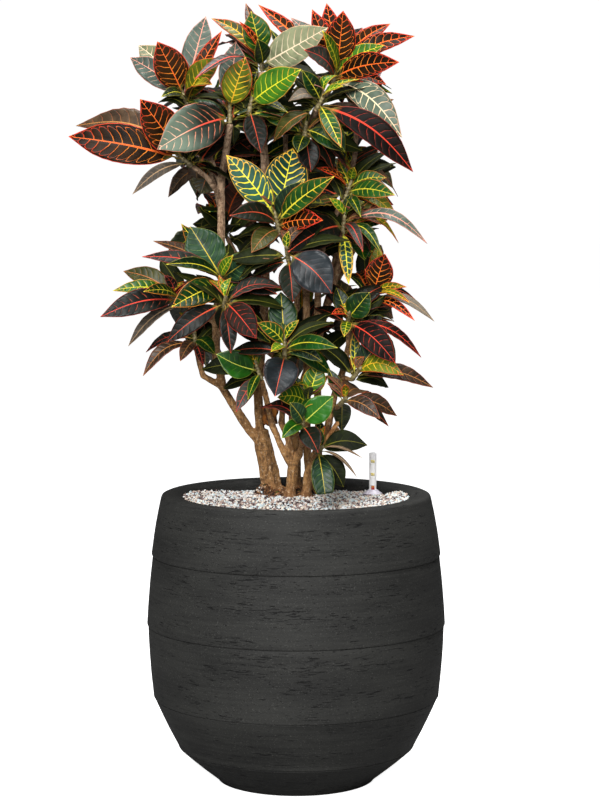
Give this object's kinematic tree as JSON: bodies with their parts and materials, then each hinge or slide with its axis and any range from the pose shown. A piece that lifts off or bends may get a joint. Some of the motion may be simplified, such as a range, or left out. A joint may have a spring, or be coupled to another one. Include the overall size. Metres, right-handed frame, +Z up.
{
  "type": "potted croton",
  "caption": "Bushy variegated croton with several woody stems, growing in a dark barrel planter topped with fine gravel and fitted with a water-level gauge.",
  "frame": {"origin": "middle of the planter's flat underside, on the surface it stands on", "axes": "+Z up, -Y towards the viewer of the picture, +X to that viewer's right"},
  "size_m": [0.4968, 0.433, 1.036],
  "materials": {
    "planter_plastic": "dark anthracite, matte, with fine brushed scratches and small pits",
    "inner_plastic": "plain dark moulding, out of sight",
    "soil": "loose brown potting mix of bark and peat",
    "gravel": "fine pumice gravel, cream, bluish white, pinkish brown and dark brown",
    "gauge_clear": "clear tube, slightly milky",
    "gauge_collar": "pale lavender white, satin",
    "gauge_red": "red float with an orange top",
    "bark": "light brown bark, finely cracked, with leaf scars",
    "leaf_ember": "glossy leathery leaves, blackish brown with red-orange veins",
    "leaf_slate": "glossy leathery leaves, slate grey with a red midrib",
    "leaf_sage": "glossy leathery leaves, grey green with peach veins",
    "leaf_lime": "glossy leathery leaves, lime green with yellow veins and edges",
    "leaf_forest": "glossy leathery leaves, dark green with a yellow midrib",
    "leaf_gold": "glossy leathery leaves, green with a strong yellow net of veins",
    "leaf_umber": "leathery leaves seen from their brown undersides"
  },
  "bodies": {
    "root": {"pot": "planter_plastic", "reservoir_floor": "inner_plastic", "soil": "soil", "gravel": "gravel", "gauge_tube": "gauge_clear", "gauge_collar": "gauge_collar", "gauge_float": "gauge_red", "trunk_left": "bark", "trunk_front": "bark", "trunk_right": "bark", "trunk_pair": "bark", "trunk_back": "bark", "crown_left": "leaf_sage", "far_left": "leaf_ember", "crown_middle_left": "leaf_slate", "crown_middle_right": "leaf_lime", "crown_middle": "leaf_gold", "crown_right": "leaf_ember", "right_upper": "leaf_sage", "centre": "leaf_gold", "upper_left": "leaf_umber", "left_middle": "leaf_forest", "left_outer": "leaf_slate", "left_low": "leaf_umber", "left_inner": "leaf_slate", "low_left": "leaf_forest", "centre_low": "leaf_slate", "right_middle": "leaf_slate", "right_high": "leaf_lime", "right_outer": "leaf_ember", "right_inner": "leaf_forest", "right_low": "leaf_umber", "right_lower": "leaf_umber", "low_centre": "leaf_lime", "low_upright": "leaf_gold", "lowest_right": "leaf_forest", "inner_right": "leaf_forest", "heart": "leaf_slate", "back_crown_left": "leaf_sage", "back_crown_middle": "leaf_lime", "back_crown_right": "leaf_ember", "back_high_left": "leaf_slate", "back_high_right": "leaf_gold", "back_left": "leaf_ember", "back_middle": "leaf_forest", "back_right": "leaf_sage", "back_low_left": "leaf_gold", "back_low_right": "leaf_umber", "back_lowest": "leaf_slate"}
  },
  "joints": []
}
